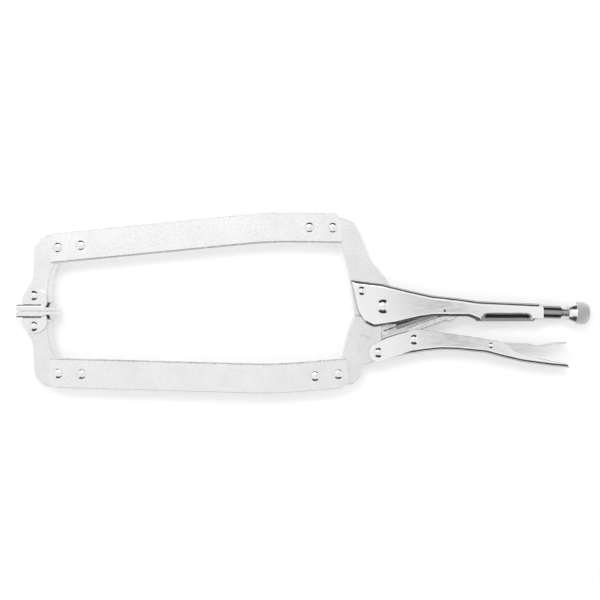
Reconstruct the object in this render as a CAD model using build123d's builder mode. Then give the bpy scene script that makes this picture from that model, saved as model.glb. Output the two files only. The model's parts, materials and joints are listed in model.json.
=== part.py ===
"""Locking C clamp with swivel pads and riveted extension bars, closed but not locked.

Millimetres. The origin is the centre of the fixed pad's clamping face. +X runs from the pads
towards the adjusting knob, +Y towards the fixed half of the frame, and +Z is square to the
flat of the frame, up from a bench that the clamp lies on. Z = 0 is the plane of symmetry.
"""

from build123d import *
from math import acos, atan2, cos, degrees, radians, sin
import os

# Frame
pivot_reach = 275.0  # pads' centre to the main pivot, along X
pivot_rise = 3.6  # main pivot above the clamping plane
jaw_thickness = 9.0  # forged arms and jaws, across Z
bar_thickness = 3.0
bar_width = 22.8
bar_bend = 6.5  # degrees that a bar turns inwards
bar_bend_radius = 350.0
bar_rear_run = 30.0  # from the end of the bend to the last rivet
bar_end_margin = 7.5  # last rivet to the bar's end
bar_clip = 5.0  # clipped outer corner of a bar
rivet_pitch = 18.5
upper_first_rivet = Vector(16.5, 50.3)
lower_first_rivet = Vector(17.0, -49.6)
upper_bar_angle = 5.6
lower_bar_angle = -1.6
upper_rivet_setback = 40.0  # main pivot back to the upper bar's last rivet, along X
lower_rivet_setback = 35.5

# Sheet metal, pins and fits
sheet = 2.2  # handle wall
side_gap = 0.2  # between a forging and the wall or ear beside it
fit = 0.05  # radial clearance of a pin that turns
rivet_fit = 0.02  # radial clearance of a rivet that holds
edge_break = 0.4  # chamfer on forged and sheared edges
bar_rivet_radius = 2.6
bar_rivet_head = 3.8
bar_head_height = 1.0
main_pin_radius = 3.6
main_pin_head = 5.6
small_pin_radius = 2.4
small_pin_head = 3.9
release_pin_radius = 1.5
release_pin_head = 2.3
head_height = 1.5
main_head_height = 2.1

# Pads
pad_gap = 0.2  # between the closed pads
pad_length = 32.0
pad_width = 18.0
pad_lip = 2.8  # thickness of the foot
pad_rib = 5.4  # height of the ribs that the ears stand on
pad_rib_end = 3.0  # the ribs stop here, short of the inner lip
ear_radius = 9.7
ear_centre_x = -1.6
ear_centre_rise = 8.1
ear_thickness = 2.5
pad_pin_x = -2.5
pad_pin_rise = 12.2

# Arms
arm_boss_radius = 7.6
arm_end_rise = 6.4  # the arm's flat end above the clamping face
arm_outer_x = -2.2
arm_inner_x = 10.8
arm_shoulder_rise = 25.5  # where the outer edge turns towards the boss
arm_waist_rise = 28.0  # where the inner edge turns under the bars
arm_corner_radius = 14.5
arm_inner_radius = 46.0
arm_inset = 0.4  # outer edge of an arm inside the bars' outer edge
rim_start = 3.2  # the ledge starts this far above the arm's flat end
tongue_half = 9.4  # half-width of a forging between its bars
tongue_margin = 8.0  # a forging runs this far past its last rivet
rim_width = 3.0  # ledge along the inner edge of an arm
rim_depth = 1.0

# Linkage, as distances from the main pivot
handle_pin_offset = Vector(-3.7, -36.7)
link_pin_offset = Vector(24.6, -26.4)
link_nose_offset = Vector(60.8, -2.1)
release_pin_offset = Vector(85.6, -30.9)
jaw_rivet_offset = Vector(-17.0, 12.4)
spring_eye_offset = Vector(1.6, -19.4)
spring_anchor_offset = Vector(48.9, -3.5)
tongue_radius = 9.0  # fixed jaw's tongue on the main pivot
tongue_thickness = 3.8
cheek_radius = 9.5  # moving jaw's cheeks on the main pivot
jaw_clearance = 0.5  # between the two jaws where they meet
handle_boss_radius = 7.5
link_boss_radius = 5.6
link_nose_radius = 3.4
link_play = 0.5  # link to each wall of the lower handle
lever_sheet = 1.4
grip_radius = 8.0  # the rolled-in grip, as a round-ended groove along the handle's lower edge
grip_depth = 3.3  # the groove's floor, out from the middle plane
grip_sheet = 1.9
grip_reach = (83.0, 112.8)  # the groove's two end centres, along X from the main pivot
grip_drop = 11.8
lever_play = 0.4
lever_tail_half = 5.2

# Screw and knob, along an axis that leans down towards the knob
screw_lean = -2.0
screw_radius = 3.5
screw_tip_gap = 0.8  # from the link's nose to the screw's tip
collar_radius = 5.1
collar_end = 82.2  # from the link's nose to the end of the collar
collar_length = 18.0
knob_gap = 5.2  # thread that shows between the collar and the knob
knob_radius = 8.8
knob_length = 17.4
knob_socket = 13.0
knob_dish = 2.4
knob_face = 6.2  # radius of the front rim

# Spring
spring_wire_radius = 0.45
spring_coil_radius = 2.6
spring_eye_radius = 3.0
spring_lead = 9.4  # from the eye in the jaw to the first turn
tab_sheet = 1.6  # tab that hangs from the roof of the upper handle
tab_half_width = 2.0
tab_drop = 2.2
tab_rise = 10.0
tab_hole_radius = 1.0

half_jaw = jaw_thickness / 2
wall_inner = half_jaw + side_gap
wall_outer = wall_inner + sheet
ear_outer = wall_inner + ear_thickness
bar_outer = half_jaw + bar_thickness

main_pivot = Vector(pivot_reach, pivot_rise)
handle_pin_place = main_pivot + handle_pin_offset
link_pin_place = main_pivot + link_pin_offset
link_nose = main_pivot + link_nose_offset
release_pin_place = main_pivot + release_pin_offset
jaw_rivet_place = main_pivot + jaw_rivet_offset
spring_eye = main_pivot + spring_eye_offset
spring_anchor = main_pivot + spring_anchor_offset
grip_low = main_pivot + Vector(0, -grip_drop)
grip_start = pivot_reach + grip_reach[0]
grip_end = pivot_reach + grip_reach[1]
grip_length = grip_end - grip_start


def heading(angle):
    """Unit vector at an angle in degrees, anticlockwise from +X."""
    return Vector(cos(radians(angle)), sin(radians(angle)))


def from_pivot(x, y):
    """Point at a distance from the main pivot."""
    return main_pivot + Vector(x, y)


def nearest(shape, point):
    """Vertex of a sketch nearest a point."""
    return shape.vertices().sort_by_distance(point)[0]


class BarLine:
    """Centreline of an extension bar: a straight run, a gentle inward bend and a short run."""

    def __init__(self, side, first_rivet, front_angle, last_x):
        self.side = side
        self.along = heading(front_angle)
        self.rear_along = heading(front_angle - side * bar_bend)
        self.out = heading(front_angle + side * 90)
        self.rear_out = heading(front_angle - side * bar_bend + side * 90)
        self.middle_out = heading(front_angle - side * bar_bend / 2 + side * 90)
        bend = (self.rear_out - self.out) * bar_bend_radius
        rear = self.rear_along * bar_rear_run
        run = (last_x - first_rivet.X - bend.X - rear.X) / self.along.X
        self.bend_start = first_rivet + self.along * run
        self.bend_end = self.bend_start + bend
        self.bend_centre = self.bend_start - self.out * bar_bend_radius
        last_rivet = self.bend_end + rear
        self.rivets = [
            first_rivet,
            first_rivet + self.along * rivet_pitch,
            last_rivet - self.rear_along * rivet_pitch,
            last_rivet,
        ]
        self.front_end = first_rivet - self.along * bar_end_margin
        self.rear_end = last_rivet + self.rear_along * bar_end_margin


upper_line = BarLine(1, upper_first_rivet, upper_bar_angle, pivot_reach - upper_rivet_setback)
lower_line = BarLine(-1, lower_first_rivet, lower_bar_angle, pivot_reach - lower_rivet_setback)


def save(builder, label):
    """Labels a finished piece and writes it as a STEP file."""
    builder.part.label = label
    export_step(builder.part, f"parts/{label}.step")


def break_edges(builder, amount):
    """Chamfers the outline of a flat piece on both of its faces."""
    for face in (builder.faces().sort_by(Axis.Z)[0], builder.faces().sort_by(Axis.Z)[-1]):
        chamfer(face.outer_wire().edges(), amount)


def make_bar(line, front, label):
    """One flat extension bar, on the front or the back of the forgings."""
    half = bar_width / 2
    bend_outer = bar_bend_radius + half
    bend_inner = bar_bend_radius - half
    front_outer = line.front_end + line.out * half
    front_inner = line.front_end - line.out * half
    rear_outer = line.rear_end + line.rear_out * half
    rear_inner = line.rear_end - line.rear_out * half
    outer_start = line.bend_start + line.out * half
    outer_middle = line.bend_centre + line.middle_out * bend_outer
    outer_end = line.bend_end + line.rear_out * half
    inner_start = line.bend_start - line.out * half
    inner_middle = line.bend_centre + line.middle_out * bend_inner
    inner_end = line.bend_end - line.rear_out * half
    base = half_jaw if front else -bar_outer
    with BuildPart() as bar:
        with BuildSketch(Plane.XY.offset(base)) as outline:
            with BuildLine():
                Line(front_outer, outer_start)
                ThreePointArc(outer_start, outer_middle, outer_end)
                Line(outer_end, rear_outer)
                Line(rear_outer, rear_inner)
                Line(rear_inner, inner_end)
                ThreePointArc(inner_end, inner_middle, inner_start)
                Line(inner_start, front_inner)
                Line(front_inner, front_outer)
            make_face()
            chamfer([nearest(outline, front_outer), nearest(outline, rear_outer)], bar_clip)
            fillet([nearest(outline, front_inner), nearest(outline, rear_inner)], 1.5)
            with Locations(*line.rivets):
                Circle(bar_rivet_radius + rivet_fit, mode=Mode.SUBTRACT)
        extrude(amount=bar_thickness)
        shown = bar.faces().sort_by(Axis.Z)[-1 if front else 0]
        chamfer(shown.outer_wire().edges(), edge_break)
    save(bar, label)


def tangent_point(centre, radius, point, turn):
    """Point where a line from outside touches a circle, on the side given by turn."""
    away = point - centre
    angle = degrees(atan2(away.Y, away.X)) + turn * degrees(acos(radius / away.length))
    return centre + heading(angle) * radius


def round_corners(outline, corners):
    """Rounds the corners of a sketch; each entry is a point and a radius."""
    for point, radius in corners:
        if radius:
            fillet(nearest(outline, point), radius)


def make_rivet(place, radius, head_radius, half_grip, height, label):
    """A pin with a domed head at each end, square to the frame."""
    dome = (head_radius**2 + height**2) / (2 * height)
    top = half_grip + rivet_fit + height
    seat = top - height
    centre = top - dome
    middle = heading((degrees(atan2(seat - centre, head_radius)) + 90) / 2) * dome
    with BuildPart() as rivet:
        with BuildSketch(Plane(origin=place, x_dir=(1, 0, 0), z_dir=(0, -1, 0))):
            with BuildLine():
                ThreePointArc((0, top), (middle.X, centre + middle.Y), (head_radius, seat))
                Line((head_radius, seat), (radius, seat))
                Line((radius, seat), (radius, -seat))
                Line((radius, -seat), (head_radius, -seat))
                ThreePointArc((head_radius, -seat), (middle.X, -centre - middle.Y), (0, -top))
                Line((0, -top), (0, top))
            make_face()
        revolve(axis=Axis(place, (0, 0, 1)))
    save(rivet, label)


def make_arm(line, label):
    """Forged front arm: a tongue between the bars, a waist and a boss that carries the pad."""
    side = line.side
    boss = Vector(pad_pin_x, side * pad_pin_rise)
    shoulder = Vector(arm_outer_x - 1.6, side * arm_shoulder_rise)
    touch = tangent_point(boss, arm_boss_radius, shoulder, side)
    outer_half = bar_width / 2 - arm_inset
    front = line.rivets[0] + line.out * outer_half
    corner = front + line.along * ((arm_outer_x - front.X) / line.along.X)
    rear = line.rivets[1] + line.along * tongue_margin
    inner_start = line.rivets[0] + line.along * 1.4 - line.out * tongue_half
    waist = Vector(arm_inner_x, side * arm_waist_rise)
    heel = Vector(arm_inner_x, side * arm_end_rise)
    with BuildSketch() as outline:
        Polygon(
            rear + line.out * outer_half,
            corner,
            shoulder,
            touch,
            boss,
            Vector(pad_pin_x, side * arm_end_rise),
            heel,
            waist,
            inner_start,
            rear - line.out * tongue_half,
        )
        round_corners(outline, [(corner, arm_corner_radius), (shoulder, 12)])
        round_corners(outline, [(waist, arm_inner_radius), (heel, 2)])
        with Locations(boss):
            Circle(arm_boss_radius)
        with Locations((pad_pin_x, side * (arm_end_rise - arm_boss_radius))):
            Rectangle(4 * arm_boss_radius, 2 * arm_boss_radius, mode=Mode.SUBTRACT)
    rim_low = arm_end_rise + rim_start
    rim_high = (line.rivets[0] - line.out * bar_width / 2).Y * side - 1.0
    with BuildPart() as arm:
        with BuildSketch(Plane.XY.offset(-half_jaw)):
            add(outline.sketch)
        extrude(amount=jaw_thickness)
        break_edges(arm, edge_break)
        for base in (-half_jaw, half_jaw - rim_depth):
            with BuildSketch(Plane.XY.offset(base)):
                with Locations((arm_inner_x, side * (rim_low + rim_high) / 2)):
                    Rectangle(2 * arm_inner_x, rim_high - rim_low)
                add(outline.sketch.moved(Location((-rim_width, 0, 0))), mode=Mode.SUBTRACT)
            extrude(amount=rim_depth, mode=Mode.SUBTRACT)
        with BuildSketch(Plane.XY.offset(-half_jaw)):
            with Locations(*line.rivets[:2]):
                Circle(bar_rivet_radius + rivet_fit)
            with Locations(boss):
                Circle(small_pin_radius + fit)
        extrude(amount=jaw_thickness, mode=Mode.SUBTRACT)
    save(arm, label)


def make_pad(side, label):
    """Swivel pad: a foot with two raised ribs and an ear each side of the arm's boss."""
    face = 0 if side > 0 else -pad_gap
    pin = Vector(pad_pin_x, side * pad_pin_rise)
    half = pad_length / 2
    with BuildPart() as pad:
        with BuildSketch(Plane.XY.offset(-pad_width / 2)):
            with Locations((0, face + side * pad_lip / 2)):
                Rectangle(pad_length, pad_lip)
        extrude(amount=pad_width)
        corners = pad.edges().filter_by(Axis.Y)
        chamfer(corners, 2.0)
        for low, high in ((-pad_width / 2, -wall_inner), (wall_inner, pad_width / 2)):
            with BuildSketch(Plane.XY.offset(low)):
                Polygon(
                    (-half + 0.4, face + side * pad_lip / 2),
                    (-half + 0.4, face + side * pad_rib),
                    (pad_rib_end, face + side * pad_rib),
                    (pad_rib_end + 3.5, face + side * pad_lip),
                    (pad_rib_end + 3.5, face + side * pad_lip / 2),
                )
            extrude(amount=high - low)
        tops = pad.edges().filter_by(Axis.X).filter_by_position(Axis.X, -half, pad_rib_end)
        rolled = tops.filter_by(lambda edge: abs(abs(edge.center().Z) - pad_width / 2) < 0.01)
        fillet(rolled.filter_by(lambda edge: abs(edge.center().Y - face) > pad_rib - 0.1), 2.2)
        for low in (-ear_outer, wall_inner):
            with BuildSketch(Plane.XY.offset(low)) as ear:
                with Locations((ear_centre_x, side * ear_centre_rise)):
                    Circle(ear_radius)
                with Locations((ear_centre_x, -side * ear_radius + face + side * pad_lip / 2)):
                    Rectangle(3 * ear_radius, 2 * ear_radius, mode=Mode.SUBTRACT)
                with Locations(pin):
                    Circle(small_pin_radius + fit, mode=Mode.SUBTRACT)
            extrude(amount=ear_thickness)
    save(pad, label)


def make_upper_jaw():
    """Forged jaw of the fixed frame, with a thin tongue on the main pivot."""
    line = upper_line
    front = line.rivets[2] - line.rear_along * tongue_margin
    neck = from_pivot(-34.0, 54.0)
    throat = from_pivot(-25.8, 20.0)
    crown = from_pivot(-22.0, 66.0)
    with BuildSketch() as outline:
        Polygon(
            front + line.rear_out * tongue_half,
            line.rivets[3] + line.rear_out * tongue_half,
            from_pivot(-32.4, 70.6),
            crown,
            from_pivot(-8.0, 34.5),
            from_pivot(2.4, 22.4),
            from_pivot(8.0, 12.8),
            from_pivot(9.6, 5.0),
            main_pivot,
            from_pivot(-7.1, -7.1),
            from_pivot(-22.3, -7.1),
            throat,
            neck,
            line.rivets[3] - line.rear_out * tongue_half,
            front - line.rear_out * tongue_half,
        )
        round_corners(outline, [(crown, 6), (from_pivot(-8.0, 34.5), 12)])
        round_corners(outline, [(from_pivot(2.4, 22.4), 6), (throat, 12)])
        round_corners(outline, [(neck, 3), (from_pivot(-32.4, 70.6), 6)])
    with BuildPart() as jaw:
        with BuildSketch(Plane.XY.offset(-half_jaw)):
            add(outline.sketch)
        extrude(amount=jaw_thickness)
        break_edges(jaw, edge_break)
        with BuildSketch(Plane.XY.offset(-half_jaw)):
            with Locations(main_pivot):
                Circle(tongue_radius + 1.0)
        extrude(amount=jaw_thickness, mode=Mode.SUBTRACT)
        with BuildSketch(Plane.XY.offset(-tongue_thickness / 2)):
            add(outline.sketch)
            with Locations(main_pivot):
                Circle(tongue_radius)
        extrude(amount=tongue_thickness)
        with BuildSketch(Plane.XY.offset(-half_jaw)):
            with Locations(*line.rivets[2:]):
                Circle(bar_rivet_radius + rivet_fit)
            with Locations(jaw_rivet_place):
                Circle(small_pin_radius + rivet_fit)
            with Locations(main_pivot):
                Circle(main_pin_radius + rivet_fit)
        extrude(amount=jaw_thickness, mode=Mode.SUBTRACT)
    save(jaw, "upper_jaw")


def make_lower_jaw():
    """Forged jaw of the moving frame: two cheeks on the main pivot and a boss for the handle."""
    line = lower_line
    front = line.rivets[2] - line.rear_along * tongue_margin
    meet = -7.1 - jaw_clearance
    pocket = [from_pivot(-18.0, -21.6), from_pivot(-7.6, -26.2), from_pivot(-20.2, -39.0)]
    with BuildPart() as jaw:
        with BuildSketch(Plane.XY.offset(-half_jaw)) as outline:
            Polygon(
                front - line.rear_out * tongue_half,
                line.rivets[3] - line.rear_out * tongue_half,
                from_pivot(-32.6, -42.6),
                from_pivot(-29.9, -29.5),
                from_pivot(-26.0, -15.4),
                from_pivot(-21.9, meet),
                from_pivot(-5.0, meet),
                main_pivot,
                from_pivot(7.0, -4.5),
                from_pivot(-1.0, -15.0),
                from_pivot(-1.0, -25.0),
                handle_pin_place + heading(55) * (handle_boss_radius - 0.3),
                handle_pin_place + heading(-100) * (handle_boss_radius - 0.3),
                from_pivot(-15.5, -46.5),
                from_pivot(-18.2, -56.5),
                from_pivot(-23.0, -61.6),
                line.rivets[3] + line.rear_out * tongue_half,
                front + line.rear_out * tongue_half,
            )
            round_corners(outline, [(from_pivot(-29.9, -29.5), 30), (from_pivot(-26.0, -15.4), 20)])
            round_corners(outline, [(from_pivot(-21.9, meet), 1.5), (from_pivot(-32.6, -42.6), 3)])
            round_corners(outline, [(from_pivot(-1.0, -15.0), 3), (from_pivot(-15.5, -46.5), 5)])
            round_corners(outline, [(from_pivot(-18.2, -56.5), 5), (from_pivot(-23.0, -61.6), 3)])
            with Locations(main_pivot):
                Circle(cheek_radius)
            with Locations(handle_pin_place):
                Circle(handle_boss_radius)
        extrude(amount=jaw_thickness)
        break_edges(jaw, edge_break)
        for base in (-half_jaw, half_jaw - 2.0):
            with BuildSketch(Plane.XY.offset(base)) as hollow:
                Polygon(*pocket)
                round_corners(hollow, [(point, 2) for point in pocket])
            extrude(amount=2.0, mode=Mode.SUBTRACT)
        with BuildSketch(Plane.XY.offset(-1.5)):
            with Locations(spring_eye):
                Circle(3.4)
        extrude(amount=3.0)
        with BuildSketch(Plane.XY.offset(-tongue_thickness / 2 - side_gap)):
            with Locations(main_pivot):
                Circle(tongue_radius + 0.8)
        extrude(amount=tongue_thickness + 2 * side_gap, mode=Mode.SUBTRACT)
        with BuildSketch(Plane.XY.offset(-half_jaw)):
            with Locations(*line.rivets[2:]):
                Circle(bar_rivet_radius + rivet_fit)
            with Locations(handle_pin_place):
                Circle(small_pin_radius + fit)
            with Locations(main_pivot):
                Circle(main_pin_radius + fit)
            with Locations(spring_eye):
                Circle(1.2)
        extrude(amount=jaw_thickness, mode=Mode.SUBTRACT)
    save(jaw, "lower_jaw")


def make_upper_handle():
    """Pressed channel, open underneath, closing on a round collar bored for the screw."""
    roof = [(0.6, 17.9), (19.8, 13.2), (39.5, 8.9), (59.3, 6.7), (76.9, 4.3), (124.5, 2.2)]
    roof_start = 8.2
    block_start = 121.0
    collar_start = collar_end - collar_length
    top = [from_pivot(x, y) for x, y in roof]
    under = [from_pivot(x, y - sheet) for x, y in roof[1:-1]]
    start_drop = (roof[0][1] - roof[1][1]) / (roof[1][0] - roof[0][0])
    start_rise = roof[0][1] - sheet - start_drop * (roof_start - roof[0][0])
    axis = heading(screw_lean)
    nose = from_pivot(-26.6, 21.2)
    cheek = from_pivot(-20.6, -3.4)
    heel = from_pivot(-7.2, -16.8)
    with BuildPart() as handle:
        with BuildSketch(Plane.XY.offset(-wall_outer)) as outline:
            Polygon(
                nose,
                *top,
                from_pivot(127.4, 0.4),
                from_pivot(127.4, -9.8),
                from_pivot(120.5, -10.3),
                from_pivot(117.5, -11.8),
                from_pivot(96.4, -11.5),
                from_pivot(76.5, -11.3),
                from_pivot(68.8, -8.2),
                from_pivot(39.5, -8.1),
                from_pivot(28.3, -9.8),
                from_pivot(10.5, -14.1),
                heel,
                from_pivot(-14.6, -13.2),
                cheek,
                from_pivot(-24.0, 13.0),
            )
            round_corners(outline, [(point, 25) for point in top[:-1]])
            round_corners(outline, [(nose, 1.0), (from_pivot(-24.0, 13.0), 20), (cheek, 16)])
            round_corners(outline, [(from_pivot(-14.6, -13.2), 9), (heel, 6)])
            round_corners(outline, [(from_pivot(10.5, -14.1), 20), (from_pivot(39.5, -8.1), 20)])
            round_corners(outline, [(from_pivot(76.5, -11.3), 4), (from_pivot(68.8, -8.2), 8)])
        extrude(amount=2 * wall_outer)
        level = handle.edges().filter_by_position(Axis.Y, main_pivot.Y + 0.9, main_pivot.Y + 30)
        sides = level.filter_by(lambda edge: abs(abs(edge.center().Z) - wall_outer) < 0.01)
        fillet(sides.filter_by(lambda edge: edge.center().X > main_pivot.X), 3.4)
        with BuildSketch(Plane.XY.offset(-wall_inner)):
            Polygon(
                from_pivot(-60, 60),
                from_pivot(roof_start, 60),
                from_pivot(roof_start, start_rise),
                *under,
                from_pivot(block_start, roof[-1][1] - sheet),
                from_pivot(block_start, -60),
                from_pivot(-60, -60),
            )
        extrude(amount=2 * wall_inner, mode=Mode.SUBTRACT)
        for hand in (-1, 1):
            centre = Vector(0, grip_low.Y, hand * (grip_depth + grip_radius))
            for start, length, turn in ((grip_start, grip_length, 90), (grip_end, 0, -90)):
                plane = Plane(origin=(start, 0, 0), x_dir=(0, 1, 0), z_dir=(1, 0, 0))
                with BuildSketch(plane, mode=Mode.PRIVATE) as lining:
                    with Locations((centre.Y, centre.Z)):
                        Circle(grip_radius + grip_sheet)
                    with Locations((centre.Y + wall_outer, hand * (wall_inner + 1) / 2)):
                        Rectangle(2 * wall_outer, wall_inner + 0.2 - 1, mode=Mode.INTERSECT)
                if length:
                    extrude(lining.sketch, amount=length)
                revolve(lining.sketch, axis=Axis((start, centre.Y, 0), (0, 0, 1)), revolution_arc=turn)
            with BuildSketch(Plane(origin=(grip_start, 0, 0), x_dir=(0, 1, 0), z_dir=(1, 0, 0))):
                with Locations((centre.Y, centre.Z)):
                    Circle(grip_radius)
            extrude(amount=grip_length, mode=Mode.SUBTRACT)
            with Locations((grip_start, centre.Y, centre.Z), (grip_end, centre.Y, centre.Z)):
                Sphere(grip_radius, mode=Mode.SUBTRACT)
        with BuildSketch(Plane.XY.offset(-tab_sheet / 2)):
            Polygon(
                spring_anchor + Vector(-tab_half_width, -tab_drop),
                spring_anchor + Vector(tab_half_width, -tab_drop),
                spring_anchor + Vector(tab_half_width, tab_rise),
                spring_anchor + Vector(-tab_half_width, tab_rise),
            )
        extrude(amount=tab_sheet)
        collar = Plane(origin=link_nose + axis * collar_start, z_dir=axis)
        with BuildSketch(collar):
            Circle(collar_radius)
        extrude(amount=collar_length)
        mouth = handle.edges().filter_by(GeomType.CIRCLE).sort_by(Axis.X)[-1]
        chamfer(mouth, 0.8)
        with BuildSketch(Plane(origin=link_nose + axis * (collar_start - 8), z_dir=axis)):
            Circle(screw_radius + fit)
        extrude(amount=collar_length + 10, mode=Mode.SUBTRACT)
        with BuildSketch(Plane.XY.offset(-wall_outer)):
            with Locations(main_pivot):
                Circle(main_pin_radius + rivet_fit)
            with Locations(jaw_rivet_place):
                Circle(small_pin_radius + rivet_fit)
            with Locations(spring_anchor):
                Circle(tab_hole_radius)
        extrude(amount=2 * wall_outer, mode=Mode.SUBTRACT)
    save(handle, "upper_handle")


def make_lower_handle():
    """Pressed channel, open towards the other handle, with a boss that turns on the jaw."""
    back = [(32.9, -35.9), (46.1, -34.6), (59.3, -34.9), (82.3, -37.2), (96.4, -41.0)]
    back += [(110.6, -44.3), (131.9, -47.2)]
    floor_start = 11.5
    boss = handle_pin_place
    bottom = [from_pivot(x, y) for x, y in reversed(back)]
    inside = [from_pivot(x, y + sheet) for x, y in back]
    with BuildPart() as handle:
        with BuildSketch(Plane.XY.offset(-wall_outer)) as outline:
            Polygon(
                boss + heading(130) * (handle_boss_radius - 0.2),
                from_pivot(0.7, -26.0),
                from_pivot(13.2, -21.8),
                from_pivot(28.0, -18.2),
                from_pivot(52.7, -21.4),
                from_pivot(93.8, -27.7),
                from_pivot(106.0, -37.0),
                from_pivot(124.0, -41.3),
                from_pivot(146.0, -45.6),
                from_pivot(148.4, -48.9),
                *bottom,
                from_pivot(6.7, -40.6),
                boss + heading(-85) * (handle_boss_radius - 0.2),
                boss,
            )
            round_corners(outline, [(from_pivot(28.0, -18.2), 14), (from_pivot(0.7, -26.0), 10)])
            round_corners(outline, [(from_pivot(93.8, -27.7), 5), (from_pivot(106.0, -37.0), 8)])
            round_corners(outline, [(point, 25) for point in bottom])
            with Locations(boss):
                Circle(handle_boss_radius)
        extrude(amount=2 * wall_outer)
        downward = handle.faces().filter_by(lambda face: face.normal_at().Y < -0.5)
        back_faces = downward.filter_by_position(Axis.X, pivot_reach + 16, pivot_reach + 146)
        rims = back_faces.edges().filter_by(lambda edge: abs(abs(edge.center().Z) - wall_outer) < 0.01)
        fillet(rims, 3.4)
        with BuildSketch(Plane.XY.offset(-wall_inner)):
            Polygon(
                from_pivot(-60, -90),
                from_pivot(floor_start, -90),
                from_pivot(floor_start, -37.4),
                *inside,
                from_pivot(144.0, -46.4),
                from_pivot(144.0, 20),
                from_pivot(-60, 20),
            )
        extrude(amount=2 * wall_inner, mode=Mode.SUBTRACT)
        with BuildSketch(Plane.XY.offset(-wall_outer)):
            with Locations(boss):
                Circle(small_pin_radius + rivet_fit)
            with Locations(link_pin_place):
                Circle(small_pin_radius + rivet_fit)
            with Locations(release_pin_place):
                Circle(release_pin_radius + rivet_fit)
        extrude(amount=2 * wall_outer, mode=Mode.SUBTRACT)
    save(handle, "lower_handle")


def make_toggle_link():
    """Link from the lower handle up to the end of the adjusting screw."""
    half = wall_inner - link_play
    knee = from_pivot(46.0, -7.9)
    stop = from_pivot(54.3, -12.3)
    with BuildPart() as link:
        with BuildSketch(Plane.XY.offset(-half)) as outline:
            Polygon(
                link_pin_place + heading(160) * (link_boss_radius - 0.2),
                from_pivot(20.6, -17.4),
                from_pivot(30.0, -13.3),
                knee,
                from_pivot(54.8, -5.6),
                from_pivot(57.2, -1.6),
                link_nose + heading(110) * (link_nose_radius - 0.1),
                link_nose,
                link_nose + heading(-40) * (link_nose_radius - 0.1),
                from_pivot(59.3, -8.2),
                stop,
                from_pivot(49.7, -11.4),
                from_pivot(30.4, -18.3),
                link_pin_place + heading(-10) * (link_boss_radius - 0.2),
                link_pin_place,
            )
            round_corners(outline, [(knee, 12), (stop, 2), (from_pivot(49.7, -11.4), 5)])
            round_corners(outline, [(from_pivot(30.4, -18.3), 3), (from_pivot(54.8, -5.6), 1.5)])
            with Locations(link_pin_place):
                Circle(link_boss_radius)
            with Locations(link_nose):
                Circle(link_nose_radius)
            with Locations(link_pin_place):
                Circle(small_pin_radius + fit, mode=Mode.SUBTRACT)
        extrude(amount=2 * half)
        break_edges(link, edge_break)
    save(link, "toggle_link")


def make_release_lever():
    """Pressed lever inside the lower handle, with a curled finger tail."""
    half = wall_inner - 2 * lever_play + 0.1
    web = [(39.0, -24.8), (101.4, -29.1), (116.5, -29.5), (122.7, -31.3), (128.3, -30.4)]
    web += [(135.4, -28.9), (146.0, -28.3)]
    with BuildPart() as lever:
        with BuildSketch(Plane.XY.offset(-half)):
            Polygon(
                from_pivot(*web[0]),
                from_pivot(*web[1]),
                from_pivot(*web[2]),
                from_pivot(118.0, -31.4),
                from_pivot(110.6, -33.4),
                from_pivot(101.4, -34.9),
                from_pivot(85.0, -33.9),
                from_pivot(60.0, -30.6),
                from_pivot(42.0, -29.4),
            )
        extrude(amount=2 * half)
        with BuildSketch(Plane.XY.offset(lever_sheet - half)):
            Polygon(
                from_pivot(30.0, -25.4),
                from_pivot(101.4, -30.6),
                from_pivot(130.0, -31.3),
                from_pivot(130.0, -60.0),
                from_pivot(30.0, -60.0),
            )
        extrude(amount=2 * (half - lever_sheet), mode=Mode.SUBTRACT)
        with BuildSketch(Plane.XY.offset(-lever_tail_half)) as tail:
            above = [from_pivot(x, y) for x, y in web[1:]]
            below = [from_pivot(x, y - lever_sheet) for x, y in web[1:]]
            Polygon(*above, *reversed(below))
            round_corners(tail, [(point, 4) for point in above[2:5] + below[2:5]])
        extrude(amount=2 * lever_tail_half)
        with BuildSketch(Plane.XY.offset(-half)):
            with Locations(release_pin_place):
                Circle(release_pin_radius + fit)
        extrude(amount=2 * half, mode=Mode.SUBTRACT)
    save(lever, "release_lever")


def make_screw_and_knob():
    """Adjusting rod and its knob, both on the leaning screw axis."""
    axis = heading(screw_lean)
    along = Plane(origin=link_nose, x_dir=axis, z_dir=(0, 0, 1))
    turning = Axis(link_nose, axis)
    tip = link_nose_radius + screw_tip_gap
    start = collar_end + knob_gap
    end = start + knob_length
    rod_end = start + knob_socket - 0.3
    with BuildPart() as screw:
        with BuildSketch(along):
            Polygon(
                (tip, 0),
                (tip, screw_radius - 0.8),
                (tip + 0.8, screw_radius),
                (rod_end - 0.8, screw_radius),
                (rod_end, screw_radius - 0.8),
                (rod_end, 0),
            )
        revolve(axis=turning)
    save(screw, "adjusting_screw")
    with BuildPart() as knob:
        with BuildSketch(along):
            Polygon(
                (start + knob_dish, screw_radius + fit),
                (start, knob_face - 0.8),
                (start, knob_face),
                (start + 2.4, knob_radius - 1.2),
                (start + 5.4, knob_radius),
                (end - 4.4, knob_radius),
                (end - 1.6, knob_radius - 1.3),
                (end, knob_radius - 3.6),
                (end, 0),
                (start + knob_socket, 0),
                (start + knob_socket, screw_radius + fit),
            )
        revolve(axis=turning)
    save(knob, "adjusting_knob")


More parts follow.
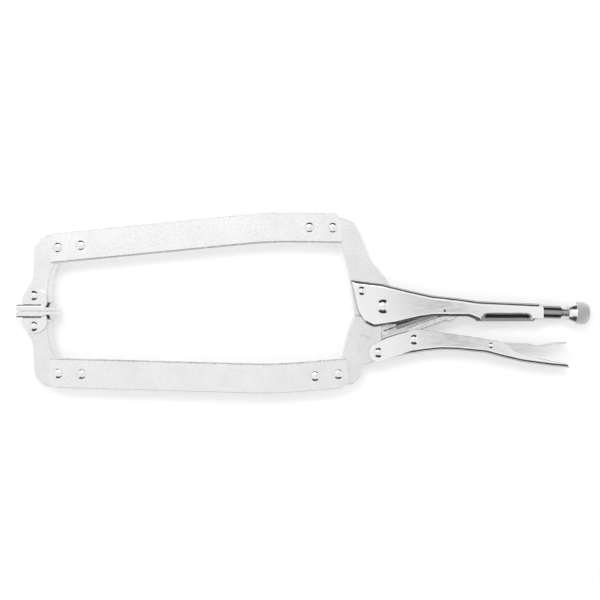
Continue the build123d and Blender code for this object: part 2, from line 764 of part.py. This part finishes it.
def make_spring():
    """Tension spring from the moving jaw to the tab in the upper handle."""
    pull = spring_anchor - spring_eye
    length = pull.length
    axis = pull.normalized()
    coil_end = 2 * spring_eye_radius - 0.8
    with BuildPart() as spring:
        for distance in (spring_eye_radius, length - spring_eye_radius):
            place = spring_eye + axis * distance
            across = axis.cross(Vector(0, 0, 1))
            start = place + axis * spring_eye_radius
            with BuildSketch(Plane(origin=start, x_dir=axis, z_dir=(0, 0, 1))):
                Circle(spring_wire_radius)
            revolve(axis=Axis(place, across))
        with BuildSketch(Plane(origin=spring_eye + axis * 2 * spring_eye_radius, z_dir=axis)):
            Circle(spring_wire_radius)
        extrude(amount=spring_lead - 2 * spring_eye_radius + spring_wire_radius)
        with BuildSketch(Plane(origin=spring_eye + axis * spring_lead, z_dir=axis)):
            Circle(spring_coil_radius)
        extrude(amount=2 * spring_wire_radius)
        with BuildSketch(Plane(origin=spring_eye + axis * spring_lead, z_dir=axis)):
            Circle(spring_coil_radius)
            Circle(spring_coil_radius - 2 * spring_wire_radius, mode=Mode.SUBTRACT)
        extrude(amount=length - coil_end - spring_lead)
    save(spring, "spring")


os.makedirs("parts", exist_ok=True)
for bar_line, name in ((upper_line, "upper"), (lower_line, "lower")):
    make_bar(bar_line, True, f"{name}_bar_front")
    make_bar(bar_line, False, f"{name}_bar_back")
    make_arm(bar_line, f"{name}_arm")
    make_pad(bar_line.side, f"{name}_pad")
    for index, rivet_place in enumerate(bar_line.rivets):
        rivet_label = f"{name}_rivet_{index + 1}"
        make_rivet(rivet_place, bar_rivet_radius, bar_rivet_head, bar_outer, bar_head_height, rivet_label)
    pad_pin_place = Vector(pad_pin_x, bar_line.side * pad_pin_rise)
    pad_pin_label = f"{name}_pad_pin"
    make_rivet(pad_pin_place, small_pin_radius, small_pin_head, ear_outer, head_height, pad_pin_label)
make_upper_jaw()
make_lower_jaw()
make_upper_handle()
make_lower_handle()
make_toggle_link()
make_release_lever()
make_screw_and_knob()
make_spring()
make_rivet(
    main_pivot, main_pin_radius, main_pin_head, wall_outer, main_head_height, "main_pivot_pin"
)
make_rivet(jaw_rivet_place, small_pin_radius, 3.4, wall_outer, head_height, "jaw_rivet")
make_rivet(
    handle_pin_place, small_pin_radius, small_pin_head, wall_outer, head_height, "handle_pin"
)
make_rivet(link_pin_place, small_pin_radius, small_pin_head, wall_outer, head_height, "link_pin")
make_rivet(
    release_pin_place, release_pin_radius, release_pin_head, wall_outer, 1.0, "release_pin"
)
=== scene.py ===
# %% [markdown]
# # A locking C clamp
# The clamp is pressed, forged and riveted steel, all of it nickel plated. The engineering model
# gives every bar, jaw and handle its exact shape, so this script loads that model as a frame,
# adds the three pieces whose detail is too fine for it (the knurled knob, the rolled thread and
# the coil spring), and then gives each piece the plated finish that it has in real life.

# %% Load the frame
import bpy
import json
import numpy as np
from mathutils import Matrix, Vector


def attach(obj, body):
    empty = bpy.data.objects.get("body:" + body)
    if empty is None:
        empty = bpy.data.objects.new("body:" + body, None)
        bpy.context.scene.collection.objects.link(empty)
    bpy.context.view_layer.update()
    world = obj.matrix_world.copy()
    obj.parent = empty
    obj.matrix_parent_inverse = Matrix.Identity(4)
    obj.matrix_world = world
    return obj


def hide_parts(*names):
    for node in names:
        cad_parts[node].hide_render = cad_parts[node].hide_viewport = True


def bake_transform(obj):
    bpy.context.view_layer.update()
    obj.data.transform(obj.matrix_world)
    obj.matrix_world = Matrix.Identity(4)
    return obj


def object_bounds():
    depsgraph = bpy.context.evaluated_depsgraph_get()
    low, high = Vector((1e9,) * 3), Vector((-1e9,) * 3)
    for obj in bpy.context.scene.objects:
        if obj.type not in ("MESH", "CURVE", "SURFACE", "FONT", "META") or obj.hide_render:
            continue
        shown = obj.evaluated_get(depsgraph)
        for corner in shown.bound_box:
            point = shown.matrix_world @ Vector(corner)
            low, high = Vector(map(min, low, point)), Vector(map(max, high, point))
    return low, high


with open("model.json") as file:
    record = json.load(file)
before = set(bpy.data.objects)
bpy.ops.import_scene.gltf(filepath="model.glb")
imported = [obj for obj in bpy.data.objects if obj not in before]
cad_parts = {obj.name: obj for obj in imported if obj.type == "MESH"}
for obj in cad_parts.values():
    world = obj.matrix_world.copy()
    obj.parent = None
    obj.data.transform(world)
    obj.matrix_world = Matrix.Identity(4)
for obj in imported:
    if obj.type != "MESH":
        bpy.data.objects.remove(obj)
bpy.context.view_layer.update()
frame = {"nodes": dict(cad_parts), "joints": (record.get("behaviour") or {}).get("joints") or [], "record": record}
nodes = frame["nodes"]
joints = {joint["name"]: joint for joint in frame["joints"]}

# %% [markdown]
# ## Helpers for surfaces
# A turned or rolled piece is a grid: one direction runs along its axis and the other runs round
# it. Working the grid out as whole arrays keeps the shape exact and lets a knurl or a thread be
# part of the formula. The last column joins the first, so there is no seam to hide.


# %% A closed grid as a mesh
def ring_mesh(name, points):
    """Mesh from rings of points, shape (rings, around, 3). Faces join each point to the next one
    round its ring and to the same one on the next ring. Each end ring is closed by one centre
    point, the mean of that ring."""
    rings, around, _ = points.shape
    ends = np.stack([points[0].mean(axis=0), points[-1].mean(axis=0)])
    verts = np.concatenate([points.reshape(-1, 3), ends])
    row, col = np.meshgrid(np.arange(rings - 1), np.arange(around), indexing="ij")
    after = (col + 1) % around
    quads = np.stack(
        [row * around + col, row * around + after, (row + 1) * around + after,
         (row + 1) * around + col], axis=-1).reshape(-1, 4)
    i = np.arange(around)
    j = (i + 1) % around
    first, last = rings * around, rings * around + 1
    base = (rings - 1) * around
    caps = np.concatenate([
        np.stack([j, i, np.full(around, first)], axis=-1),
        np.stack([base + i, base + j, np.full(around, last)], axis=-1)])
    mesh = bpy.data.meshes.new(name)
    mesh.from_pydata(verts.tolist(), [], quads.tolist() + caps.tolist())
    mesh.update()
    mesh.shade_smooth()
    piece = bpy.data.objects.new(name, mesh)
    bpy.context.collection.objects.link(piece)
    return piece


def paint(piece, name, values):
    """Stores one number for each point of a piece, with 0 for the two end centres."""
    layer = piece.data.attributes.new(name, "FLOAT", "POINT")
    padded = np.concatenate([values.reshape(-1), np.zeros(2)]).astype(np.float32)
    layer.data.foreach_set("value", padded)


# %% [markdown]
# ## The screw's axis
# The adjusting screw doesn't lie along the frame's X axis: it leans down by two degrees towards
# the knob. The joint that turns the knob already states the axis and a point on it, so both come
# from there. Two directions square to the axis are needed as well, to draw circles about it.

# %% Axis of the screw and the knob
turn = joints["knob_turn"]
screw_axis = np.array(turn["axis"], float)
screw_axis /= np.linalg.norm(screw_axis)
screw_origin = np.array(turn["pos_m"], float)
screw_up = np.array([0.0, 0.0, 1.0])
screw_side = np.cross(screw_up, screw_axis)


def about_screw(along, radius, angle):
    """Points at a distance along the screw's axis, at a radius and an angle about it."""
    out = np.cos(angle)[..., None] * screw_side + np.sin(angle)[..., None] * screw_up
    return screw_origin + along[..., None] * screw_axis + radius[..., None] * out


def reach(node):
    """Distances along the screw's axis at which a turned CAD piece starts and ends, and its
    radius, from the piece's own points."""
    mesh = nodes[node].data
    flat = np.empty(len(mesh.vertices) * 3)
    mesh.vertices.foreach_get("co", flat)
    away = flat.reshape(-1, 3) - screw_origin
    along = away @ screw_axis
    radius = np.linalg.norm(away - along[:, None] * screw_axis, axis=1)
    return along.min(), along.max(), radius.max()


rod_start, rod_end, rod_radius = reach("adjusting_screw")
knob_start, knob_end, knob_radius = reach("adjusting_knob")
print("rod", rod_start, rod_end, rod_radius, "knob", knob_start, knob_end, knob_radius)


# %% [markdown]
# ## A profile with fine steps
# Both turned pieces start as a profile: radius against distance along the axis. The corners of
# the profile are listed once, and points are spread evenly between them, so a groove that is cut
# into the profile later has enough points to show.


# %% Spread points along a profile
def spread(corners, step):
    """Even points along straight runs between corners, at most one step apart. Every corner is
    kept, so chamfers stay sharp."""
    corners = np.array(corners, float)
    gaps = np.linalg.norm(np.diff(corners, axis=0), axis=1)
    counts = np.maximum(1, np.ceil(gaps / step).astype(int))
    index = np.repeat(np.arange(len(counts)), counts)
    within = np.arange(counts.sum()) - np.repeat(np.cumsum(counts) - counts, counts)
    share = (within / np.repeat(counts, counts))[:, None]
    points = corners[index] * (1 - share) + corners[index + 1] * share
    return np.concatenate([points, corners[-1:]])


# %% [markdown]
# ## The threaded rod
# The rod has a rolled thread along its whole length. A thread is a groove whose depth depends on
# the distance along the axis plus a share of the pitch for each turn, so one formula gives the
# whole helix. It fades out at both chamfered ends.

# %% Threaded rod
PITCH = 0.00125
THREAD_DEPTH = 0.00062


def thread_depth(along, angle):
    """Depth of the groove: a rounded triangle wave of the turns made, along / pitch minus
    angle / full turn. It is 0 on the crest and 1 at the root."""
    phase = (along / PITCH - angle / (2 * np.pi)) % 1.0
    wave = 1 - np.abs(2 * phase - 1)
    return np.clip((wave - 0.18) / 0.72, 0, 1)


end_cut = 0.0007
profile = spread(
    [(rod_start, rod_radius - end_cut), (rod_start + end_cut, rod_radius),
     (rod_end - end_cut, rod_radius), (rod_end, rod_radius - end_cut)], PITCH / 9)
angle = np.arange(56) / 56 * 2 * np.pi
along, around = np.meshgrid(profile[:, 0], angle, indexing="ij")
shape = np.repeat(profile[:, 1:], len(angle), axis=1)
fade = np.clip(np.minimum(along - rod_start, rod_end - along) / 0.0012, 0, 1)
groove = thread_depth(along, around) * fade
rod = ring_mesh("threaded_rod", about_screw(along, shape - THREAD_DEPTH * groove, around))
paint(rod, "groove", groove)
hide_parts("adjusting_screw")
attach(rod, "screw")
print("threaded rod:", len(rod.data.polygons), "faces")

# %% [markdown]
# ## The knurled knob
# The knob is a short turned cylinder with a smooth flange in front, a socket that the rod screws
# into, and diamond knurling behind that runs over its rounded rear edge. Two families of grooves
# cross at equal and opposite angles, and a diamond stands up wherever both are shallow.

# %% Knurled knob
DIAMONDS = 28
KNURL_DEPTH = 0.0007
KNURL_RISE = 2 * np.pi * knob_radius / DIAMONDS


def knurl_depth(along, angle):
    """Depth of the knurl: two triangle waves, of angle plus and minus distance along the axis.
    The deeper one counts, so lone diamonds stand between crossing grooves."""
    turns = angle * DIAMONDS / (2 * np.pi)
    rise = along / KNURL_RISE
    first = np.abs(2 * ((turns + rise) % 1.0) - 1)
    second = np.abs(2 * ((turns - rise) % 1.0) - 1)
    return np.clip((np.maximum(first, second) - 0.6) / 0.3, 0, 1)


socket_radius = 0.0036
profile = spread(
    [(knob_start + 0.0128, socket_radius), (knob_start + 0.0024, socket_radius),
     (knob_start, 0.0054), (knob_start, 0.0062), (knob_start + 0.0024, knob_radius - 0.0012),
     (knob_start + 0.0054, knob_radius), (knob_end - 0.0044, knob_radius),
     (knob_end - 0.0016, knob_radius - 0.0013), (knob_end, knob_radius - 0.0036),
     (knob_end, 0.0008)], 0.00018)
angle = np.arange(DIAMONDS * 10) / (DIAMONDS * 10) * 2 * np.pi
along, around = np.meshgrid(profile[:, 0], angle, indexing="ij")
shape = np.repeat(profile[:, 1:], len(angle), axis=1)
knurl_start = knob_start + 0.0056
knurl_end = knob_end - 0.0008
fade = np.clip(np.minimum(along - knurl_start, knurl_end - along) / 0.0006, 0, 1)
outside = shape > knob_radius - 0.0028
groove = knurl_depth(along, around) * fade * outside
knob = ring_mesh("knurled_knob", about_screw(along, shape - KNURL_DEPTH * groove, around))
paint(knob, "groove", groove)
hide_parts("adjusting_knob")
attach(knob, "knob")
print("knurled knob:", len(knob.data.polygons), "faces")

# %% [markdown]
# ## The return spring
# A close-coiled tension spring pulls the jaws open. It has a round eye at each end: one passes
# through a hole in the moving jaw, the other through a tab inside the fixed handle. The wire is a
# circle carried along one path: an eye, a straight lead, the coil, and the other eye. The two
# holes are placed from the main pivot, and the spring's length is the distance between them.

# %% Path of the spring's wire
WIRE = 0.00045  # radius of the wire
COIL = 0.00213  # radius of the coil, to the middle of the wire
EYE = 0.003  # radius of each eye
TURNS = 24.5
pivot = np.array(joints["jaw_pivot"]["pos_m"], float)
jaw_eye = pivot + np.array([0.0016, -0.0194, 0.0])
tab_eye = pivot + np.array([0.0489, -0.0035, 0.0])
length = np.linalg.norm(tab_eye - jaw_eye)
pull = (tab_eye - jaw_eye) / length
across = np.cross([0.0, 0.0, 1.0], pull)
lead_end = 0.0096
body_end = length - 0.0058


def ease(t, start, end):
    """0 before start and 1 after end, turning smoothly between them."""
    share = np.clip((t - start) / (end - start), 0, 1)
    return (share * share * (3 - 2 * share))[:, None]


def wire_path(count):
    """Points along the wire. The first share is an eye that lies in the plane of the pull and Z,
    then a straight lead on the axis, then a helix that widens from the lead and advances evenly,
    then the second eye. Smooth weights turn one into the next."""
    t = np.linspace(0, 1, count)
    none = np.zeros(count)
    body = np.clip((t - 0.08) / 0.85, 0, 1)
    spin = 2 * np.pi * TURNS * body
    wide = COIL * ease(t, 0.08, 0.10)[:, 0]
    lead = 2 * EYE + (lead_end - 2 * EYE) * np.clip((t - 0.05) / 0.03, 0, 1)
    pitch_run = lead + (body_end - lead_end) * body
    helix = np.stack([pitch_run, wide * np.cos(spin), wide * np.sin(spin)], axis=-1)
    near = np.radians(-150 + 330 * np.clip(t / 0.05, 0, 1))
    far = np.radians(-150 + 310 * np.clip((1 - t) / 0.06, 0, 1))
    eye_near = np.stack([EYE - EYE * np.cos(near), none, EYE * np.sin(near)], axis=-1)
    eye_far = np.stack([length - EYE + EYE * np.cos(far), none, EYE * np.sin(far)], axis=-1)
    into = ease(t, 0.047, 0.053)
    out = 1 - ease(t, 0.928, 0.944)
    local = eye_near * (1 - into) + helix * into
    local = eye_far * (1 - out) + local * out
    return jaw_eye + local[:, :1] * pull + local[:, 1:2] * across + local[:, 2:] * screw_up


def tube(name, path, radius, around):
    """A circle carried along a path. Each ring lies square to the path: its first direction is
    the tangent crossed with a fixed direction, its second the tangent crossed with the first."""
    tangent = np.gradient(path, axis=0)
    tangent /= np.linalg.norm(tangent, axis=1)[:, None]
    guide = np.cross(tangent, pull + 0.31 * across)
    guide /= np.linalg.norm(guide, axis=1)[:, None]
    other = np.cross(tangent, guide)
    angle = np.arange(around) / around * 2 * np.pi
    cosine, sine = np.cos(angle)[None, :, None], np.sin(angle)[None, :, None]
    return ring_mesh(name, path[:, None] + radius * (cosine * guide[:, None] + sine * other[:, None]))


# %% Spring wire
spring = tube("return_spring", wire_path(1900), WIRE, 10)
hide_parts("spring")
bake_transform(spring)
print("return spring:", len(spring.data.polygons), "faces")

# %% [markdown]
# ## Plated steel
# Nickel plate is a metal surface: its colour is the colour of its reflection, and its character
# comes from how rough it is and from small ripples. Every finish here is built the same way, with
# three layers of noise: broad patches that vary the tone a little, a fine grain that roughens the
# reflection, and a bump that bends it. Stretching the noise along X gives the draw lines of
# rolled strip. A rounded-normal node finds the edges, which get a painted highlight.
# The handles' rounded rims and the grip's hollow get painted shade: their tone falls with the
# distance from the flat.


# %% Node helper
def link(tree, source, output, target, entry):
    """Joins one node's output to another node's input."""
    tree.links.new(source.outputs[output], target.inputs[entry])


def noise(tree, coords, scale, detail, stretch=(1, 1, 1), rough=0.55):
    """A noise texture on stretched object coordinates."""
    mapping = tree.nodes.new("ShaderNodeMapping")
    mapping.inputs["Scale"].default_value = stretch
    link(tree, coords, "Object", mapping, "Vector")
    texture = tree.nodes.new("ShaderNodeTexNoise")
    texture.inputs["Scale"].default_value = scale
    texture.inputs["Detail"].default_value = detail
    texture.inputs["Roughness"].default_value = rough
    link(tree, mapping, "Vector", texture, "Vector")
    return texture


def ramp(tree, source, output, stops):
    """Turns a number into a grey, through stops of (position, value)."""
    node = tree.nodes.new("ShaderNodeValToRGB")
    node.color_ramp.elements[0].position = stops[0][0]
    node.color_ramp.elements[1].position = stops[-1][0]
    node.color_ramp.elements[0].color = (*[stops[0][1]] * 3, 1)
    node.color_ramp.elements[1].color = (*[stops[-1][1]] * 3, 1)
    link(tree, source, output, node, "Fac")
    return node


# %% Plated finish
def plated(name, tint, grain, grain_scale, stretch, rough, bump,
           wave=0.0, wave_scale=60, groove=None, rim=None):
    """A nickel-plated finish. tint is its colour, rough the low and high roughness, grain the
    share of tone the fine noise takes, bump the height in metres of the fine noise, and wave the
    height of the broad ripple left by pressing or polishing. groove names a point attribute whose
    depth paints shade into the hollows. rim is a pair of distances from the middle plane: what lies
    below the first gets painted shade, and what lies above the second is bright."""
    material = bpy.data.materials.new(name)
    material.use_nodes = True
    tree = material.node_tree
    shader = tree.nodes["Principled BSDF"]
    shader.inputs["Metallic"].default_value = 1.0
    coords = tree.nodes.new("ShaderNodeTexCoord")
    patches = noise(tree, coords, 55, 3)
    fine = noise(tree, coords, grain_scale, 6, stretch)
    specks = noise(tree, coords, 1500, 2)
    tone = tree.nodes.new("ShaderNodeMix")
    tone.data_type = "RGBA"
    dark = [c * (1 - grain) for c in tint]
    tone.inputs["A"].default_value = (*dark, 1)
    tone.inputs["B"].default_value = (*tint, 1)
    blend_noise = tree.nodes.new("ShaderNodeMath")
    blend_noise.operation = "MULTIPLY_ADD"
    blend_noise.inputs[1].default_value = 0.45
    link(tree, patches, "Fac", blend_noise, 0)
    half_fine = tree.nodes.new("ShaderNodeMath")
    half_fine.operation = "MULTIPLY"
    half_fine.inputs[1].default_value = 0.55
    link(tree, fine, "Fac", half_fine, 0)
    link(tree, half_fine, "Value", blend_noise, 2)
    spreading = ramp(tree, blend_noise, "Value", [(0.36, 0.0), (0.64, 1.0)])
    link(tree, spreading, "Color", tone, "Factor")
    rounded = tree.nodes.new("ShaderNodeBevel")
    rounded.samples = 4
    rounded.inputs["Radius"].default_value = 0.0004
    surface = tree.nodes.new("ShaderNodeNewGeometry")
    facing = tree.nodes.new("ShaderNodeVectorMath")
    facing.operation = "DOT_PRODUCT"
    link(tree, rounded, "Normal", facing, 0)
    link(tree, surface, "Normal", facing, 1)
    # Painted highlight: the colour is lightened on the edges that the rounded normal finds.
    edge_highlight = ramp(tree, facing, "Value", [(0.90, 1.0), (0.995, 0.0)])
    edge = tree.nodes.new("ShaderNodeMix")
    edge.data_type = "RGBA"
    edge.inputs["B"].default_value = (*[min(1.0, c * 1.12) for c in tint], 1)
    link(tree, edge_highlight, "Color", edge, "Factor")
    link(tree, tone, "Result", edge, "A")
    colour = edge
    # Painted shade: the groove depth darkens the colour in the hollows of the thread and the knurl.
    if groove:
        depth = tree.nodes.new("ShaderNodeAttribute")
        depth.attribute_name = groove
        shade = tree.nodes.new("ShaderNodeMix")
        shade.data_type = "RGBA"
        shade.inputs["B"].default_value = (*[c * 0.12 for c in tint], 1)
        hollow = ramp(tree, depth, "Fac", [(0.25, 0.0), (1.0, 1.0)])
        link(tree, hollow, "Color", shade, "Factor")
        link(tree, edge, "Result", shade, "A")
        colour = shade
    # Painted shade: the colour falls towards the handles' rounded rims and the grip's hollow.
    if rim:
        split = tree.nodes.new("ShaderNodeSeparateXYZ")
        link(tree, coords, "Object", split, "Vector")
        height = tree.nodes.new("ShaderNodeMath")
        height.operation = "ABSOLUTE"
        link(tree, split, "Z", height, 0)
        flat_share = tree.nodes.new("ShaderNodeMapRange")
        flat_share.interpolation_type = "SMOOTHSTEP"
        flat_share.inputs["From Min"].default_value = rim[0]
        flat_share.inputs["From Max"].default_value = rim[1]
        link(tree, height, "Value", flat_share, "Value")
        painted_rim_shade = tree.nodes.new("ShaderNodeMix")
        painted_rim_shade.data_type = "RGBA"
        painted_rim_shade.inputs["A"].default_value = (*[c * 0.32 for c in tint], 1)
        link(tree, flat_share, "Result", painted_rim_shade, "Factor")
        link(tree, colour, "Result", painted_rim_shade, "B")
        colour = painted_rim_shade
    link(tree, colour, "Result", shader, "Base Color")
    rough_map = tree.nodes.new("ShaderNodeMapRange")
    rough_map.inputs["From Min"].default_value = 0.3
    rough_map.inputs["From Max"].default_value = 0.7
    rough_map.inputs["To Min"].default_value = rough[0]
    rough_map.inputs["To Max"].default_value = rough[1]
    link(tree, fine, "Fac", rough_map, "Value")
    link(tree, rough_map, "Result", shader, "Roughness")
    ripple = tree.nodes.new("ShaderNodeBump")
    ripple.inputs["Strength"].default_value = 1.0
    ripple.inputs["Distance"].default_value = wave
    broad = noise(tree, coords, wave_scale, 2)
    link(tree, broad, "Fac", ripple, "Height")
    link(tree, rounded, "Normal", ripple, "Normal")
    scratch = tree.nodes.new("ShaderNodeBump")
    scratch.inputs["Strength"].default_value = 1.0
    scratch.inputs["Distance"].default_value = bump
    link(tree, fine, "Fac", scratch, "Height")
    link(tree, ripple, "Normal", scratch, "Normal")
    pits = tree.nodes.new("ShaderNodeBump")
    pits.inputs["Strength"].default_value = 1.0
    pits.inputs["Distance"].default_value = bump * 0.3
    link(tree, specks, "Fac", pits, "Height")
    link(tree, scratch, "Normal", pits, "Normal")
    link(tree, pits, "Normal", shader, "Normal")
    return material


# %% [markdown]
# ## One finish for each way a piece is made
# The bars are sheared from rolled strip, so their grain runs along them. The jaws and arms are
# forged and tumbled before plating, which leaves a soft, slightly pitted skin. The handles are
# pressed and polished, so they mirror the room. The thread and the knurl get painted shade in
# their grooves, and the spring's wire is given a darker tone than the rest, as painted shade.

# %% Finishes
finishes = {
    "plated_bar": plated("plated rolled strip", (0.90, 0.90, 0.895), 0.10, 1100, (0.6, 1, 1),
                         (0.22, 0.34), 0.00002, 0.00005, 40),
    "plated_forging": plated("plated forging", (0.87, 0.87, 0.865), 0.13, 900, (1, 1, 1),
                             (0.24, 0.38), 0.00003, 0.00012, 90),
    "polished_handle": plated("polished pressed steel", (0.95, 0.95, 0.945), 0.04, 500,
                              (0.3, 1, 1), (0.16, 0.24), 0.000004, 0.00002, 45,
                              rim=(0.0048, 0.0065)),
    "plated_link": plated("plated pressed link", (0.84, 0.84, 0.835), 0.12, 800, (0.5, 1, 1),
                          (0.2, 0.34), 0.00002, 0.00008, 80),
    "plated_pad": plated("plated pad", (0.90, 0.90, 0.895), 0.08, 800, (1, 1, 1),
                         (0.16, 0.28), 0.00001, 0.0001, 90),
    "bright_rivet": plated("bright rivet", (0.90, 0.90, 0.895), 0.06, 900, (1, 1, 1),
                           (0.1, 0.2), 0.000008, 0.00004, 120),
    "screw_thread": plated("rolled thread", (0.80, 0.80, 0.79), 0.08, 900, (1, 1, 1),
                           (0.16, 0.28), 0.000006, groove="groove"),
    "knurled_knob": plated("knurled steel", (0.90, 0.90, 0.89), 0.06, 900, (1, 1, 1),
                           (0.13, 0.24), 0.000006, groove="groove"),
    # The spring wire's dark tint is painted shade, standing in for the dark gaps of its coil.
    "spring_wire": plated("drawn spring wire", (0.45, 0.45, 0.44), 0.1, 900, (1, 1, 1),
                          (0.2, 0.32), 0.000006),
}
for part in frame["record"]["subparts"]:
    node = nodes[part["node"]]
    node.data.materials.clear()
    node.data.materials.append(finishes[part["material_slot"]])
for piece, finish in ((rod, "screw_thread"), (knob, "knurled_knob"), (spring, "spring_wire")):
    piece.data.materials.append(finishes[finish])
print(len(finishes), "finishes on", len(nodes) + 3, "pieces")

# %% [markdown]
# ## The studio
# Bright metal shows the room more than itself. The clamp lies on white paper that glows a little,
# under an even white sky with two soft lamps. Two tall dark cards stand far out beyond its two
# long sides, out of the camera's sight: they give rounded edges, pins and rivet heads their dark
# arcs. A small grey card overhead is mirrored in the handles as a soft band of shade.

# %% Floor
low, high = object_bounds()
bpy.ops.mesh.primitive_plane_add(size=8, location=(0.2, 0, float(low[2]) - 0.0001))
floor = bpy.context.object
floor.name = "white_sweep"
paper = bpy.data.materials.new("white paper")
paper.use_nodes = True
paper.node_tree.nodes["Principled BSDF"].inputs["Base Color"].default_value = (0.9, 0.9, 0.9, 1)
paper.node_tree.nodes["Principled BSDF"].inputs["Emission Color"].default_value = (1, 1, 1, 1)
paper.node_tree.nodes["Principled BSDF"].inputs["Emission Strength"].default_value = 0.3
paper.node_tree.nodes["Principled BSDF"].inputs["Roughness"].default_value = 0.8
paper.node_tree.nodes["Principled BSDF"].inputs["Specular IOR Level"].default_value = 0.1
floor.data.materials.append(paper)

# %% Sky and cards
world = bpy.data.worlds.new("white sky")
world.use_nodes = True
world.node_tree.nodes["Background"].inputs["Color"].default_value = (1, 1, 1, 1)
world.node_tree.nodes["Background"].inputs["Strength"].default_value = 0.95
bpy.context.scene.world = world


CARD_DISTANCE = 2.6
CARD_COLUMNS = 40


def dark_card(name, middle):
    """An upright curved card, far out and centred on one bearing: a strip of a cylinder about
    the clamp, 80 degrees wide and 3 metres high."""
    bearing = np.radians(middle + np.linspace(-40, 40, CARD_COLUMNS))
    x, y = 0.2 + CARD_DISTANCE * np.cos(bearing), CARD_DISTANCE * np.sin(bearing)
    foot = np.stack([x, y, np.full(CARD_COLUMNS, -0.02)], axis=-1)
    head = np.stack([x, y, np.full(CARD_COLUMNS, 3.0)], axis=-1)
    i = np.arange(CARD_COLUMNS - 1)
    faces = np.stack([i, i + 1, CARD_COLUMNS + 1 + i, CARD_COLUMNS + i], axis=-1)
    mesh = bpy.data.meshes.new(name)
    mesh.from_pydata(np.concatenate([foot, head]).tolist(), [], faces.tolist())
    card = bpy.data.objects.new(name, mesh)
    bpy.context.collection.objects.link(card)
    card.visible_camera = False
    card.visible_shadow = False
    return card


felt = bpy.data.materials.new("dark felt")
felt.use_nodes = True
felt.node_tree.nodes["Principled BSDF"].inputs["Base Color"].default_value = (0.03, 0.03, 0.03, 1)
felt.node_tree.nodes["Principled BSDF"].inputs["Roughness"].default_value = 1.0
for name, middle in (("card_beyond", 90), ("card_near", -90)):
    card = dark_card(name, middle)
    card.data.materials.append(felt)

# %% Overhead card
bpy.ops.mesh.primitive_plane_add(size=1, location=(0.445, -0.03, 0.76), rotation=(0, 0, 0.5))
overhead = bpy.context.object
overhead.name = "card_overhead"
overhead.scale = (0.07, 0.26, 1)
grey = bpy.data.materials.new("grey felt")
grey.use_nodes = True
grey.node_tree.nodes["Principled BSDF"].inputs["Base Color"].default_value = (0.3, 0.3, 0.3, 1)
grey.node_tree.nodes["Principled BSDF"].inputs["Roughness"].default_value = 1.0
overhead.data.materials.append(grey)
overhead.visible_camera = False
overhead.visible_shadow = False


# %% Lamp
def soft_lamp(name, place, aim, size, power):
    """A square area lamp that faces a point."""
    data = bpy.data.lights.new(name, "AREA")
    data.size = size
    data.energy = power
    lamp = bpy.data.objects.new(name, data)
    bpy.context.collection.objects.link(lamp)
    way = np.array(aim, float) - np.array(place, float)
    yaw = np.arctan2(way[1], way[0])
    tilt = np.arccos(-way[2] / np.linalg.norm(way))
    lamp.location = place
    lamp.rotation_euler = (0, -tilt, yaw + np.pi) if tilt > 1e-6 else (0, 0, 0)
    return lamp


soft_lamp("top lamp", (-0.1, 1.0, 1.6), (0.2, 0, 0), 1.1, 14)
soft_lamp("side lamp", (1.3, -0.8, 1.2), (0.2, 0, 0), 0.8, 6)
print("floor at", float(low[2]), "with two lamps")

# %% [markdown]
# ## The camera
# The camera looks straight down on the flat of the clamp, from about three quarters of a metre,
# so the pads are on the left and the knob is on the right.

# %% Camera
lens_angle = np.radians(35)
width_seen = 0.476
view_height = 0.007 + width_seen / 2 / np.tan(lens_angle / 2)
camera_data = bpy.data.cameras.new("camera")
camera_data.lens = 18 / np.tan(lens_angle / 2)
camera_data.sensor_width = 36
camera = bpy.data.objects.new("camera", camera_data)
bpy.context.collection.objects.link(camera)
camera.location = (0.209, 0.0087, view_height)
bpy.context.scene.camera = camera
bpy.context.scene.view_settings.view_transform = "Standard"
bpy.context.scene.view_settings.look = "None"
